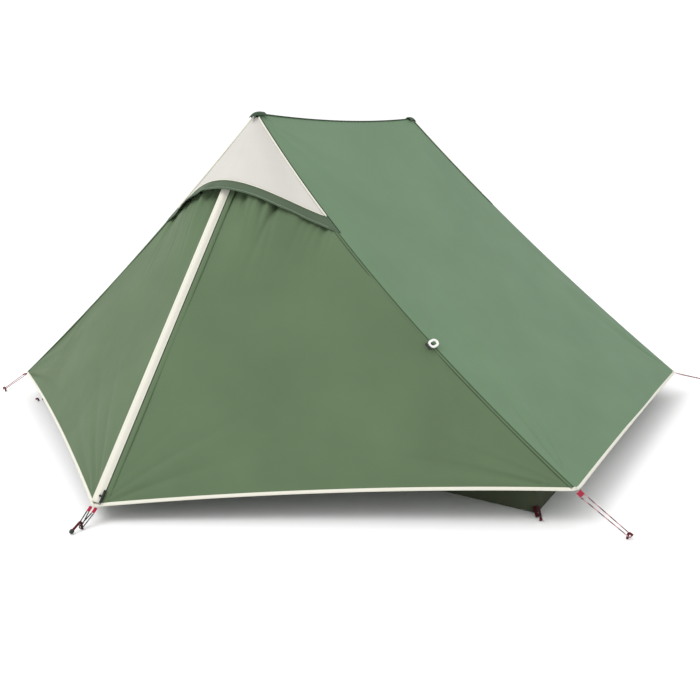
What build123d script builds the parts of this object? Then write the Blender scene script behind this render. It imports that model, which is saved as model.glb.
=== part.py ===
from build123d import *
import math
import os

# Two-pole ridge tent: a flysheet with a zipped vestibule at each end over a hung inner tent.
#
# Millimetres, +Z up. The origin is on the ground below the middle of the ridge. X runs across the
# tent, along the sleepers, and Y runs along the ridge, with the front vestibule towards -Y. The
# rear end is the front end turned half a turn about Z.

os.makedirs("parts", exist_ok=True)

# ---- driving dimensions: flysheet -------------------------------------------------------------
HALF_WIDTH = 1167.0  # hem corner, across
CORNER_Y = 678.0  # hem corner, along the ridge
HEM_Z = 102.0  # height of the hem corners
TIP_Y = 1359.0  # point of each vestibule
TIP_Z = 49.0
APEX_Y = 553.0  # ends of the ridge
APEX_Z = 1127.0
SEAM_SAG = (75.0, 62.0)  # how far the seam's two middle control points lie inside its chord
RIDGE_SAG = 18.0
ROOF_MID_DEPTH = 8.0  # roof panel's middle control points, under its flat plane
SIDE_HEM_RISE = 4.0
DOOR_HEM_RISE = 18.0
CLOTH = 1.5  # thickness that stands for one layer of fabric

# ---- driving dimensions: hood, doors and zips -------------------------------------------------
HOOD_START, HOOD_END = 0.012, 0.288  # where the hood starts and ends along each seam
HOOD_DROP = 0.200  # the brim's middle, as a share of the way down to the tip
HOOD_PROUD = 14.0  # how far the brim stands off the door at its middle
HOOD_BULGE = (0.0, 0.467, 2.04, 0.467, 0.0)  # round shoulders either side of the centre crease
BRIM_HEIGHT, BRIM_THICK, BRIM_FLARE = 30.0, 3.0, 6.0
BRIM_END = 0.333  # where the brim's lower edge meets the seam
BRIM_GAP = 0.5  # from the hood's edge to the brim
CREASE_SHARE = 0.8  # start of the hood's crease, as a share of its start along the seam
CAP_PROUD, CAP_SLOPE = 3.75, 0.86  # apex cap: clearance over the roof, and its sideways fall
CAP_ROWS = ((38, -1, 15), (12, -4, 15), (-14, -2, 9), (-34, 15, 4))  # back, down, half width
ZIP_TOP_SHARE = 0.245  # top of the zip, down the centre line
GABLE_TOP_SHARE, GABLE_SEAM_SHARE = 0.175, 0.346
CORNER_STAY = 60.0  # length of hem that stays with the pegged corner when a door opens
CENTRE_GAP, FOLD_GAP = 1.0, 0.8
DOOR_START = 0.008  # share of the hem where a door's square foot begins
DOOR_END_GAP, DOOR_TOP_GAP = 2.0, 3.0  # clearance of a door's two upper points
BINDING = 10.0  # width of the tape sewn round the hem
HEM_THICK = 2.4  # hem tape folded over the cloth
HEM_SEW_GAP = 0.3
SEAM_END = 0.995  # where the gable's seam edge stops, just short of the corner
CHAIN_WIDTH, CHAIN_THICK, CHAIN_START = 5.5, 1.6, 50.0
FLAP_WIDTH, FLAP_THICK = 18.0, 1.2
FLAP_START, FLAP_TOP_GAP = 14.0, 9.0
SLIDER_LENGTH, SLIDER_WIDTH, SLIDER_THICK = 17.0, 9.0, 3.2
SLIDER_REST = 26.0  # lower end of the closed slider, up from the tip
SLIDER_TRAVEL = 915.0
SLIDER_GAP = 0.5
SLIDER_LIP, SLIDER_LIP_ACROSS = 1.8, 2.4  # lip beyond the chain: its width and its middle
SLIDER_LIP_LENGTH = 10.2
PULL_LENGTH, PULL_WIDTH, PULL_THICK, PULL_HOLE = 44.0, 6.0, 1.6, 1.8
PULL_ACROSS, PULL_UP = 17.5, 32.0  # middle of the pull, which hangs beside the zip
PULL_NECK = 5.0

# ---- driving dimensions: inner tent and poles -------------------------------------------------
INNER_LENGTH, INNER_WIDTH = 2100.0, 1328.0
TUB_HEIGHT, TUB_LEAN, TUB_WALL, TUB_FLOOR = 120.0, 25.0, 2.0, 3.0
TUB_ROUND, TUB_INNER_ROUND = 22.0, 20.0
INNER_RIDGE_Y, INNER_RIDGE_Z = 500.0, 990.0
INNER_DOOR_HALF, INNER_DOOR_TOP = 440.0, 0.86
INNER_GAP = 1.5
TUB_INSET = 1.0  # how much the tub's inner floor is drawn in
WALL_SIDE_GAP, WALL_FOOT_GAP, WALL_TOP_GAP = 2.0, 0.5, 3.0  # clearances of the inner walls
END_TOP_GAP = 4.0
INNER_DOOR_FOOT, INNER_DOOR_DROP = 1.0, 8.0  # clearances of an inner door's foot and point
HANGER_FOOT, HANGER_HEAD = Vector(0, -504, 994), Vector(0, -539, 1101)  # front hanging strap
POLE_RADIUS, POLE_BORE = 4.75, 3.75
POLE_FOOT_Y = 728.0
POLE_HEAD = Vector(0, -559, 1094)
POLE_SECTIONS = 3
FERRULE_RADIUS, FERRULE_LENGTH = 6.0, 70.0
FOOT_RADIUS, FOOT_HEIGHT, FOOT_TAPER = 12.0, 16.0, 12.0
SECTION_START, SECTION_GAP = 6.0, 0.2  # first section's height in its foot, and half the joint gap
POLE_CAP_LENGTH, POLE_CAP_ROUND = 9.0, 3.0
BUNGEE_RADIUS, BUNGEE_GAP = 1.25, 2.0  # the cord inside the pole, and its clearance at each end
POLE_FIT = 0.05  # running clearance of ferrules and feet on the poles

# ---- driving dimensions: pegging --------------------------------------------------------------
GUY_RADIUS, SHOCK_RADIUS = 1.5, 1.6
BEND_SHARE = 0.9  # a cord's bend radius round its peg, as a share of its distance from the peg
PEG_RADIUS = 3.5
PEG_LEAN, PEG_BEND, PEG_UNDER = 0.12, 4.0, 8.0
GUY_PEG = (19.0, 12.0, 6.0)  # a peg's height, and its head's reach and fall
TIP_PEG = (25.0, 37.0, 19.0)
INNER_PEG = (12.0, 10.0, 4.0)
GUY_HEIGHT = 8.0  # height of the line on its peg
GUY_SPREAD, GUY_GRIP = 13.0, 8.5  # half the gap between a line's two sides, at its tab and its peg
LOW_SHOCK, HIGH_SHOCK = 5.0, 14.0  # heights of the two shock-cord loops on a tip peg
FRONT_GUY_PEG = Vector(1309, -687, 0)  # right side; the left side mirrors it
REAR_GUY_PEG = Vector(1332, 935, 0)
TIP_PEG_SPOT = Vector(0, -1402, 0)
INNER_PEG_OUT, INNER_STRAP_OUT = Vector(24, -39, 0), Vector(17, -29, 5)  # from the tub's corner
INNER_STRAP_RISE, INNER_STRAP_BACK = 20.0, 9.0
TAB_WIDTH, TAB_THICK, TAB_LENGTH = 11.0, 1.5, 16.0
TAB_START, TAB_FACING = Vector(5, 0.3, -0.2), (0, -0.62, 0.78)  # a door tab, from the tip
CORNER_TAB_HALF, CORNER_TAB_END, CORNER_TAB_STEP = 15.5, 15.0, 5.0
CORD_GAP = 1.0  # from a tab to the end of its cord
SHOCK_SPREAD, SHOCK_SLACK, SHOCK_GAP = 3.8, 2.0, 0.8
TOGGLE_SHARE = 0.63
LOOP_LENGTH, LOOP_WIDTH, LOOP_BAND, LOOP_THICK = 35.0, 27.0, 7.0, 4.0  # elastic tie-back loop
LOOP_ROUND = 1.5
TOGGLE_STAND, TOGGLE_SHIFT = 6.0, 2.0  # loop's place off the seam, outwards and towards the door
TOGGLE_RADIUS, TOGGLE_LENGTH, TOGGLE_GAP = 4.0, 24.0, 1.0
TOGGLE_ROUND = 2.4
STRAP_WIDTH, STRAP_THICK = 10.0, 1.5

APEX = Vector(0, -APEX_Y, APEX_Z)
TIP = Vector(0, -TIP_Y, TIP_Z)
CORNER = Vector(HALF_WIDTH, -CORNER_Y, HEM_Z)


# ---- helpers ----------------------------------------------------------------------------------
def save(piece, label):
    """Label a finished piece and write it."""
    piece.label = label
    export_step(piece, f"parts/{label}.step")


def turned(piece):
    """The same piece at the other end of the tent."""
    return piece.rotate(Axis.Z, 180)


def swapped(piece):
    """The same piece on the other side of the tent."""
    return piece.mirror(Plane.YZ)


def both_ends(piece):
    return Part() + piece + turned(piece)


def all_corners(piece):
    """The same piece at the tent's four corners."""
    return both_ends(Part() + piece + swapped(piece))


def bezier_point(controls, share):
    """The point of a Bezier curve at a share of its length."""
    points = list(controls)
    while len(points) > 1:
        points = [a + (b - a) * share for a, b in zip(points, points[1:])]
    return points[0]


def bezier_head(controls, share):
    """Control points of a Bezier curve from its start to a share."""
    points, kept = list(controls), []
    while points:
        kept.append(points[0])
        points = [a + (b - a) * share for a, b in zip(points, points[1:])]
    return kept


def bezier_span(controls, start, end):
    """Control points of a Bezier curve between two shares."""
    head = bezier_head(controls, end)
    return bezier_head(head[::-1], 1 - start / end)[::-1]


def sheet_of(rows, thickness, outward):
    """A curved sheet of fabric from the control points of its inner face."""
    with BuildPart() as sheet:
        face = Face.make_bezier_surface(rows)
        thicken(face, amount=thickness, normal_override=outward)
    return sheet.part


def rod_along(points, section, radii):
    """A round rod or cord along straight runs joined by arcs."""
    with BuildPart() as rod:
        with BuildLine() as path:
            FilletPolyline(*points, radius=radii)
        with BuildSketch(Plane(origin=points[0], z_dir=points[1] - points[0])):
            Circle(section)
        sweep(path=path.line)
    return rod.part


def cord_along(points, section, bend, name):
    """A cord pulled round a peg, with its bend radius and its length printed."""
    cord = rod_along(points, section, [bend, bend])
    runs = sum((b - a).length for a, b in zip(points, points[1:]))
    length = cord.volume / (math.pi * section**2)
    print(f"{name}: bend radii {bend:.1f} {bend:.1f}, runs {runs:.0f}, tube length {length:.0f}")
    print("   route", [tuple(round(v, 1) for v in p) for p in points])
    return cord


# ---- the flysheet's lines ---------------------------------------------------------------------
UP_ZIP = (APEX - TIP).normalized()
door_normal = (CORNER - APEX).cross(TIP - APEX).normalized()
DOOR_NORMAL = door_normal if door_normal.Y < 0 else -door_normal
DOOR = Plane(origin=TIP, x_dir=UP_ZIP.cross(DOOR_NORMAL), z_dir=DOOR_NORMAL)
ROOF_NORMAL = Vector(APEX_Z - HEM_Z, 0, HALF_WIDTH).normalized()
DOWN_ROOF = Vector(HALF_WIDTH, 0, HEM_Z - APEX_Z).normalized()
HOOD_NORMAL = Vector(0, TIP_Z - APEX_Z, TIP_Y - APEX_Y).normalized()

seam_step = (CORNER - APEX) / 3
seam_inward = DOOR_NORMAL.cross(seam_step).normalized()
SEAM_INWARD = seam_inward if seam_inward.Z < 0 else -seam_inward
SEAM = [
    APEX,
    APEX + seam_step + SEAM_INWARD * SEAM_SAG[0],
    APEX + seam_step * 2 + SEAM_INWARD * SEAM_SAG[1],
    CORNER,
]


def centre_line(share):
    """A point on the zip line, from the apex down to the tip."""
    return APEX + (TIP - APEX) * share


def on_door(point):
    """A point's place in the plane of the front right door."""
    local = DOOR.to_local_coords(point)
    return Vector(local.X, local.Y)


ZIP_TOP = centre_line(ZIP_TOP_SHARE)
ZIP_TOP_UP = on_door(ZIP_TOP).Y
CORNER_FLAT = on_door(CORNER)
HEM_ALONG = CORNER_FLAT.normalized()
HEM_UP = Vector(-HEM_ALONG.Y, HEM_ALONG.X)
FOLD_ALONG = (CORNER_FLAT - Vector(0, ZIP_TOP_UP)).normalized()
FOLD_DOWN = Vector(FOLD_ALONG.Y, -FOLD_ALONG.X)


def hem_point(share, rise=0.0):
    """A point of the door's hem, from the tip to the corner, raised into the panel."""
    hollow = 4 * DOOR_HEM_RISE * share * (1 - share)
    return CORNER_FLAT * share + HEM_UP * (hollow + rise)


# ---- flysheet: roof panels and their hem bindings ---------------------------------------------
hem_lift = DOWN_ROOF * -BINDING
roof_front = [*SEAM[:3], CORNER + hem_lift]
roof_front[0] = APEX + Vector(CENTRE_GAP / 2, 0, 0)
roof_rear = [Vector(p.X, -p.Y, p.Z) for p in roof_front]
roof_mid = [Vector(CENTRE_GAP / 2, 0, APEX_Z - 2 * RIDGE_SAG)]
for step in (1, 2):
    along = roof_front[0] + (roof_front[3] - roof_front[0]) * (step / 3)
    roof_mid.append(Vector(along.X, 0, along.Z) - ROOF_NORMAL * ROOF_MID_DEPTH)
roof_mid.append(Vector(roof_front[3].X, 0, roof_front[3].Z) - DOWN_ROOF * (2 * SIDE_HEM_RISE))
roof_rows = [list(row) for row in zip(roof_front, roof_mid, roof_rear)]
fly_roof_right = sheet_of(roof_rows, CLOTH, ROOF_NORMAL)
save(fly_roof_right, "fly_roof_right")
save(swapped(fly_roof_right), "fly_roof_left")

hem_row = [roof_front[3], roof_mid[3], roof_rear[3]]
hem_rows = [[p + DOWN_ROOF * HEM_SEW_GAP for p in hem_row], [p - hem_lift for p in hem_row]]
side_hem = sheet_of(hem_rows, HEM_THICK, ROOF_NORMAL)
save(Part() + side_hem + swapped(side_hem), "side_hem_bindings")

# ---- flysheet: front and rear gables, the part of the ends that stays when the doors open ------
fold_top = Vector(0, ZIP_TOP_UP)
stay_share = 1 - CORNER_STAY / CORNER_FLAT.length
stay_cut = hem_point(stay_share)
fold_length = (CORNER_FLAT - fold_top).length
fold_stop = fold_top + FOLD_ALONG * (fold_length - CORNER_STAY)
seam_low = bezier_span(SEAM, GABLE_SEAM_SHARE, SEAM_END)
with BuildPart() as gable:
    with BuildSketch(DOOR):
        with BuildLine():
            seam_edge = Bezier(*[on_door(p) for p in seam_low])
            Polyline(
                seam_edge @ 1,
                hem_point(SEAM_END),
                stay_cut + HEM_ALONG * FOLD_GAP,
                fold_stop,
                fold_top + Vector(CENTRE_GAP, 0),
                Vector(CENTRE_GAP, on_door(centre_line(GABLE_TOP_SHARE)).Y),
                seam_edge @ 0,
            )
        make_face()
    extrude(amount=CLOTH)
front_gable = Part() + gable.part + swapped(gable.part)
save(front_gable, "front_gable")
save(turned(front_gable), "rear_gable")

# ---- flysheet: hoods and their stiffened brims ------------------------------------------------
def across(seam_point, centre_point):
    """Control points from the left seam over the crease to the right seam."""
    left = Vector(-seam_point.X, seam_point.Y, seam_point.Z)
    rise = centre_point - (seam_point + left) / 2
    return [
        left + (seam_point - left) * (place / 4) + rise * bulge
        for place, bulge in enumerate(HOOD_BULGE)
    ]


hood_seam = bezier_span(SEAM, HOOD_START, HOOD_END)
brim_centre = centre_line(HOOD_DROP) + HOOD_NORMAL * HOOD_PROUD
crease_start = centre_line(HOOD_START * CREASE_SHARE)
hood_rows = [
    across(point, crease_start + (brim_centre - crease_start) * (row / 3))
    for row, point in enumerate(hood_seam)
]
front_hood = sheet_of(hood_rows, CLOTH, HOOD_NORMAL)
save(front_hood, "front_hood")
save(turned(front_hood), "rear_hood")

brim_end = bezier_point(SEAM, BRIM_END)
brim_low = brim_centre - UP_ZIP * BRIM_HEIGHT + HOOD_NORMAL * BRIM_FLARE
brim_rows = [
    across(bezier_point(SEAM, HOOD_END) - UP_ZIP * BRIM_GAP, brim_centre - UP_ZIP * BRIM_GAP),
    across(brim_end, brim_low),
]
front_brim = sheet_of(brim_rows, BRIM_THICK, HOOD_NORMAL)
save(front_brim, "front_brim")
save(turned(front_brim), "rear_brim")

# ---- doors: four panels with their hem bindings, zip chains and pegging tabs ------------------
with BuildPart() as door:
    with BuildSketch(DOOR):
        with BuildLine():
            hem_edge = ThreePointArc(
                hem_point(DOOR_START, BINDING), hem_point(0.5, BINDING), hem_point(stay_share, BINDING)
            )
            Polyline(
                hem_edge @ 1,
                fold_stop + FOLD_DOWN * (2 * FOLD_GAP) - FOLD_ALONG * DOOR_END_GAP,
                fold_top + Vector(CENTRE_GAP, -DOOR_TOP_GAP) + FOLD_DOWN * (2 * FOLD_GAP),
                Vector(CENTRE_GAP, (hem_edge @ 0).Y),
                hem_edge @ 0,
            )
        make_face()
    extrude(amount=CLOTH)

with BuildPart() as door_hem:
    with BuildSketch(DOOR):
        with BuildLine():
            low_edge = ThreePointArc(hem_point(DOOR_START), hem_point(0.5), hem_point(stay_share))
            high_edge = ThreePointArc(
                hem_point(DOOR_START, BINDING), hem_point(0.5, BINDING), hem_point(stay_share, BINDING)
            )
            Line(low_edge @ 0, high_edge @ 0)
            Line(low_edge @ 1, high_edge @ 1)
        make_face()
    extrude(amount=HEM_THICK)

chain_top = SLIDER_REST + SLIDER_LENGTH + SLIDER_TRAVEL
with BuildPart() as chain:
    with BuildSketch(DOOR.offset(CLOTH)):
        with Locations((CENTRE_GAP + CHAIN_WIDTH / 2, (CHAIN_START + chain_top) / 2)):
            Rectangle(CHAIN_WIDTH, chain_top - CHAIN_START)
    extrude(amount=CHAIN_THICK)

tab_plane = Plane(origin=DOOR.from_local_coords(TAB_START), x_dir=(1, 0, 0), z_dir=TAB_FACING)
with BuildPart() as tab:
    with BuildSketch(tab_plane):
        with Locations((TAB_WIDTH / 2, -TAB_LENGTH / 2)):
            Rectangle(TAB_WIDTH, TAB_LENGTH)
    extrude(amount=-TAB_THICK)

for place, move in {
    "front_right": lambda piece: piece,
    "front_left": swapped,
    "rear_left": turned,
    "rear_right": lambda piece: turned(swapped(piece)),
}.items():
    save(move(door.part), f"door_{place}")
    save(move(door_hem.part), f"door_hem_{place}")
    save(move(chain.part), f"zip_chain_{place}")
    save(move(tab.part), f"door_tab_{place}")

# ---- storm flaps over the zips, and the zip sliders -------------------------------------------
flap_high = ZIP_TOP_UP - FLAP_TOP_GAP
flap_inner, flap_outer = CENTRE_GAP / 2, CENTRE_GAP / 2 + FLAP_WIDTH
flap_slant = FLAP_WIDTH * -FOLD_ALONG.Y / FOLD_ALONG.X
with BuildPart() as flap:
    with BuildSketch(DOOR.offset(CLOTH + CHAIN_THICK)):
        with BuildLine():
            Polyline(
                (flap_inner, FLAP_START),
                (flap_outer, FLAP_START),
                (flap_outer, flap_high - flap_slant),
                (flap_inner, flap_high),
                close=True,
            )
        make_face()
    extrude(amount=FLAP_THICK)
front_flap = swapped(flap.part)
save(front_flap, "front_zip_flap")
save(turned(front_flap), "rear_zip_flap")

slider_base = CLOTH + CHAIN_THICK + SLIDER_GAP
slider_mid = CENTRE_GAP + SLIDER_GAP + SLIDER_WIDTH / 2
slider_up = SLIDER_REST + SLIDER_LENGTH / 2
with BuildPart() as slider:
    with BuildSketch(DOOR.offset(slider_base)):
        with Locations((slider_mid, slider_up)):
            SlotOverall(SLIDER_LENGTH, SLIDER_WIDTH, rotation=90)
    extrude(amount=SLIDER_THICK)
    with BuildSketch(DOOR.offset(CLOTH + SLIDER_GAP)):
        with Locations((CENTRE_GAP + CHAIN_WIDTH + SLIDER_LIP_ACROSS, slider_up)):
            Rectangle(SLIDER_LIP, SLIDER_LIP_LENGTH)
    extrude(amount=CHAIN_THICK + SLIDER_GAP)
    with BuildSketch(DOOR.offset(slider_base + SLIDER_THICK)):
        with Locations((PULL_ACROSS, PULL_UP)):
            SlotOverall(PULL_LENGTH, PULL_WIDTH, rotation=90)
        with Locations(((slider_mid + PULL_ACROSS) / 2, slider_up)):
            Rectangle(PULL_ACROSS - slider_mid, PULL_NECK)
        with Locations((PULL_ACROSS, PULL_UP - PULL_LENGTH / 2 + PULL_WIDTH / 2)):
            Circle(PULL_HOLE, mode=Mode.SUBTRACT)
    extrude(amount=PULL_THICK)
save(slider.part, "front_zip_slider")
save(turned(slider.part), "rear_zip_slider")

# ---- apex caps: the reinforced beak over each end of the ridge --------------------------------
cap_rows = [
    [
        Vector(
            side * half,
            along - APEX_Y,
            APEX_Z - drop + (1 - 2 * abs(side)) * half * CAP_SLOPE + CAP_PROUD,
        )
        for side in (-1, 0, 1)
    ]
    for along, drop, half in CAP_ROWS
]
cap = sheet_of(cap_rows, CLOTH, Vector(0, 0, 1))
save(both_ends(cap), "apex_caps")

# ---- corner tabs, guy lines and their pegs ----------------------------------------------------
def peg_at(spot, away, shape):
    """The part of a wire peg above the ground: a leaning shank with a head bent outwards and down."""
    height, reach, fall = shape
    lean = (Vector(0, 0, 1) + away * PEG_LEAN).normalized()
    head = spot + lean * height
    wire = [spot - lean * PEG_UNDER, head, head + away * reach - Vector(0, 0, fall)]
    with BuildPart() as peg:
        add(rod_along(wire, PEG_RADIUS, [PEG_BEND]))
        split(bisect_by=Plane.XY, keep=Keep.TOP)
    return peg.part


def guy_set(corner, spot):
    """The webbing tab, doubled guy line and peg of one corner on the right side."""
    out = (spot - corner).normalized()
    side = out.cross(Vector(0, 0, 1)).normalized()
    face = side.cross(out).normalized()
    level = Vector(out.X, out.Y, 0).normalized()
    start = corner + out * TAB_THICK
    with BuildPart() as corner_tab:
        with BuildSketch(Plane(origin=start - face * TAB_THICK, x_dir=side, z_dir=face)):
            with BuildLine():
                Polyline(
                    (-CORNER_TAB_HALF, 0),
                    (CORNER_TAB_HALF, 0),
                    (CORNER_TAB_HALF, CORNER_TAB_STEP),
                    (CORNER_TAB_END, TAB_LENGTH),
                    (-CORNER_TAB_END, TAB_LENGTH),
                    (-CORNER_TAB_HALF, CORNER_TAB_STEP),
                    close=True,
                )
            make_face()
        extrude(amount=TAB_THICK)
    line_start = start + out * (TAB_LENGTH + CORD_GAP) - face * (TAB_THICK / 2)
    line_end = spot + level * (PEG_LEAN * GUY_HEIGHT) + Vector(0, 0, GUY_HEIGHT)
    points = [
        line_start + side * GUY_SPREAD,
        line_end + side * GUY_GRIP + level * GUY_GRIP,
        line_end - side * GUY_GRIP + level * GUY_GRIP,
        line_start - side * GUY_SPREAD,
    ]
    line = cord_along(points, GUY_RADIUS, GUY_GRIP * BEND_SHARE, "guy line")
    return corner_tab.part, line, peg_at(spot, level, GUY_PEG)


tabs, pegs = Part(), Part()
for end, corner, spot in (
    ("front", CORNER, FRONT_GUY_PEG),
    ("rear", Vector(CORNER.X, -CORNER.Y, CORNER.Z), REAR_GUY_PEG),
):
    corner_tab, line, peg = guy_set(corner, spot)
    tabs = tabs + corner_tab + swapped(corner_tab)
    pegs = pegs + peg + swapped(peg)
    save(line, f"guy_line_{end}_right")
    save(swapped(line), f"guy_line_{end}_left")
save(tabs, "corner_tabs")
save(pegs, "guy_pegs")

# ---- vestibule points: pegs and their shock-cord loops ----------------------------------------
tip_peg = peg_at(TIP_PEG_SPOT, Vector(0, -1, 0), TIP_PEG)
save(both_ends(tip_peg), "tip_pegs")
tab_end = tab_plane.from_local_coords(Vector(TAB_WIDTH / 2, -TAB_LENGTH - CORD_GAP, -TAB_THICK / 2))
neck = PEG_RADIUS + SHOCK_RADIUS + SHOCK_GAP


def shock_loop(height):
    """A loop of shock cord from a door tab round the peg and back."""
    low = TIP_PEG_SPOT + Vector(0, -PEG_LEAN * height, height)
    points = [
        tab_end + Vector(SHOCK_SPREAD, 0, 0),
        low + Vector(neck, -neck, 0),
        low + Vector(-neck - SHOCK_SLACK, -neck, 0),
        tab_end - Vector(SHOCK_SPREAD, 0, 0),
    ]
    return cord_along(points, SHOCK_RADIUS, neck * BEND_SHARE, "shock loop")


for end, move in {"front": lambda piece: piece, "rear": turned}.items():
    save(move(shock_loop(LOW_SHOCK)), f"shock_loop_{end}_right")
    save(move(swapped(shock_loop(HIGH_SHOCK))), f"shock_loop_{end}_left")

# ---- tie-back toggles and their elastic loops on the seams ------------------------------------
toggle_out = (DOOR_NORMAL + ROOF_NORMAL).normalized()
seam_spot = bezier_point(SEAM, TOGGLE_SHARE)
seam_along = (CORNER - APEX).normalized()
toggle_cross = toggle_out.cross(seam_along).normalized()
toggle_side = -toggle_cross if toggle_cross.Z > 0 else toggle_cross
loop_base = seam_spot + toggle_out * TOGGLE_STAND + toggle_side * TOGGLE_SHIFT
with BuildPart() as toggle_loop:
    with BuildSketch(Plane(origin=loop_base, x_dir=toggle_side, z_dir=toggle_out)):
        SlotOverall(LOOP_LENGTH, LOOP_WIDTH)
        SlotOverall(LOOP_LENGTH - 2 * LOOP_BAND, LOOP_WIDTH - 2 * LOOP_BAND, mode=Mode.SUBTRACT)
    extrude(amount=LOOP_THICK)
    outer_face = toggle_loop.faces().sort_by(Axis(loop_base, toggle_out))[-1]
    fillet(outer_face.edges(), LOOP_ROUND)
toggle_reach = LOOP_LENGTH / 2 + TOGGLE_GAP + TOGGLE_RADIUS
toggle_mid = loop_base + toggle_side * toggle_reach + toggle_out * (LOOP_THICK / 2)
toggle_end = toggle_mid - seam_along * (TOGGLE_LENGTH / 2)
with BuildPart() as toggle:
    with BuildSketch(Plane(origin=toggle_end, z_dir=seam_along)):
        Circle(TOGGLE_RADIUS)
    extrude(amount=TOGGLE_LENGTH)
    toggle_faces = toggle.faces().sort_by(Axis(toggle_end, seam_along))
    fillet(toggle_faces[0].edges() + toggle_faces[-1].edges(), TOGGLE_ROUND)
save(both_ends(toggle_loop.part), "tieback_loops")
save(both_ends(toggle.part), "tieback_toggles")

# ---- inner tent: bathtub floor ----------------------------------------------------------------
tub_top_length, tub_top_width = INNER_LENGTH - 2 * TUB_LEAN, INNER_WIDTH - 2 * TUB_LEAN
with BuildPart() as tub:
    with BuildSketch(Plane.XY):
        RectangleRounded(INNER_LENGTH, INNER_WIDTH, TUB_ROUND)
    with BuildSketch(Plane.XY.offset(TUB_HEIGHT)):
        RectangleRounded(tub_top_length, tub_top_width, TUB_ROUND)
    loft()
    with BuildSketch(Plane.XY.offset(TUB_FLOOR)):
        RectangleRounded(
            INNER_LENGTH - 2 * TUB_WALL - TUB_INSET, INNER_WIDTH - 2 * TUB_WALL - TUB_INSET, TUB_INNER_ROUND
        )
    with BuildSketch(Plane.XY.offset(TUB_HEIGHT)):
        RectangleRounded(tub_top_length - 2 * TUB_WALL, tub_top_width - 2 * TUB_WALL, TUB_INNER_ROUND)
    loft(mode=Mode.SUBTRACT)
save(tub.part, "inner_floor_tub")

# ---- inner tent: sloping side walls, end walls and doors --------------------------------------
side_run, side_rise = tub_top_length / 2 - WALL_TOP_GAP, INNER_RIDGE_Z - TUB_HEIGHT
side_plane = Plane(
    origin=(tub_top_length / 2, 0, TUB_HEIGHT + WALL_FOOT_GAP),
    x_dir=(0, 1, 0),
    z_dir=(side_rise, 0, side_run),
)
side_slope = (side_run**2 + side_rise**2) ** 0.5
low_half, high_half = tub_top_width / 2 - WALL_SIDE_GAP, INNER_RIDGE_Y - WALL_SIDE_GAP
with BuildPart() as inner_side:
    with BuildSketch(side_plane):
        with BuildLine():
            Polyline(
                (-low_half, 0), (low_half, 0), (high_half, side_slope), (-high_half, side_slope), close=True
            )
        make_face()
    extrude(amount=CLOTH)
save(Part() + inner_side.part + swapped(inner_side.part), "inner_side_walls")

end_run = tub_top_width / 2 - INNER_RIDGE_Y
END = Plane(
    origin=(0, -tub_top_width / 2, TUB_HEIGHT + WALL_FOOT_GAP),
    x_dir=(1, 0, 0),
    z_dir=(0, -side_rise, end_run),
)
end_slope = (end_run**2 + side_rise**2) ** 0.5
door_top = end_slope * INNER_DOOR_TOP
with BuildPart() as inner_end:
    with BuildSketch(END):
        with BuildLine():
            Polyline(
                (side_run, 0),
                (INNER_DOOR_HALF + INNER_GAP, 0),
                (INNER_GAP, door_top),
                (INNER_GAP, end_slope - END_TOP_GAP),
                close=True,
            )
        make_face()
    extrude(amount=CLOTH)
inner_front = Part() + inner_end.part + swapped(inner_end.part)
save(inner_front, "inner_front_wall")
save(turned(inner_front), "inner_rear_wall")

with BuildPart() as inner_door:
    with BuildSketch(END):
        with BuildLine():
            Polyline(
                (-INNER_DOOR_HALF + INNER_GAP, INNER_DOOR_FOOT),
                (INNER_DOOR_HALF - INNER_GAP, INNER_DOOR_FOOT),
                (0, door_top - INNER_DOOR_DROP),
                close=True,
            )
        make_face()
    extrude(amount=CLOTH)
save(inner_door.part, "inner_front_door")
save(turned(inner_door.part), "inner_rear_door")


def strap(start, end, facing):
    """A flat length of webbing between two points."""
    with BuildPart() as webbing:
        with BuildSketch(Plane(origin=start, x_dir=facing, z_dir=end - start)):
            Rectangle(STRAP_WIDTH, STRAP_THICK)
        extrude(amount=(end - start).length)
    return webbing.part


# ---- inner tent: hanging straps, corner webbing and pegs --------------------------------------
hanger = strap(HANGER_FOOT, HANGER_HEAD, Vector(1, 0, 0))
save(both_ends(hanger), "inner_hanging_straps")

inner_corner = Vector(INNER_LENGTH / 2, -INNER_WIDTH / 2, 0)
strap_foot = inner_corner + INNER_STRAP_OUT
strap_half = STRAP_WIDTH / 2
strap_rise = Vector(0, 0, INNER_STRAP_RISE)
loop_sides = (
    (Vector(0, INNER_STRAP_BACK, 0), Vector(STRAP_THICK, strap_half, 0), Vector(0, 1, 0)),
    (Vector(-INNER_STRAP_BACK, 0, 0), Vector(-strap_half, -STRAP_THICK, 0), Vector(1, 0, 0)),
)
corner_loop = Part()
for head_shift, foot_shift, facing in loop_sides:
    head = inner_corner + strap_rise + head_shift
    corner_loop = corner_loop + strap(head, strap_foot + foot_shift, facing)
save(all_corners(corner_loop), "inner_corner_loops")
inner_peg = peg_at(inner_corner + INNER_PEG_OUT, INNER_PEG_OUT.normalized(), INNER_PEG)
save(all_corners(inner_peg), "inner_pegs")

# ---- poles: shock-corded sections, ferrules, caps and feet ------------------------------------
pole_base = Vector(0, -POLE_FOOT_Y, 0)
pole_line = (POLE_HEAD - pole_base).normalized()
pole_length = (POLE_HEAD - pole_base).length
section_length = (pole_length - SECTION_START) / POLE_SECTIONS


def on_pole(distance):
    return Plane(origin=pole_base + pole_line * distance, x_dir=(1, 0, 0), z_dir=pole_line)


sections = Part()
for number in range(POLE_SECTIONS):
    with BuildPart() as tube:
        with BuildSketch(on_pole(SECTION_START + number * section_length + SECTION_GAP)):
            Circle(POLE_RADIUS)
            Circle(POLE_BORE, mode=Mode.SUBTRACT)
        extrude(amount=section_length - 2 * SECTION_GAP)
    sections = sections + tube.part
save(both_ends(sections), "pole_sections")

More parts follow.
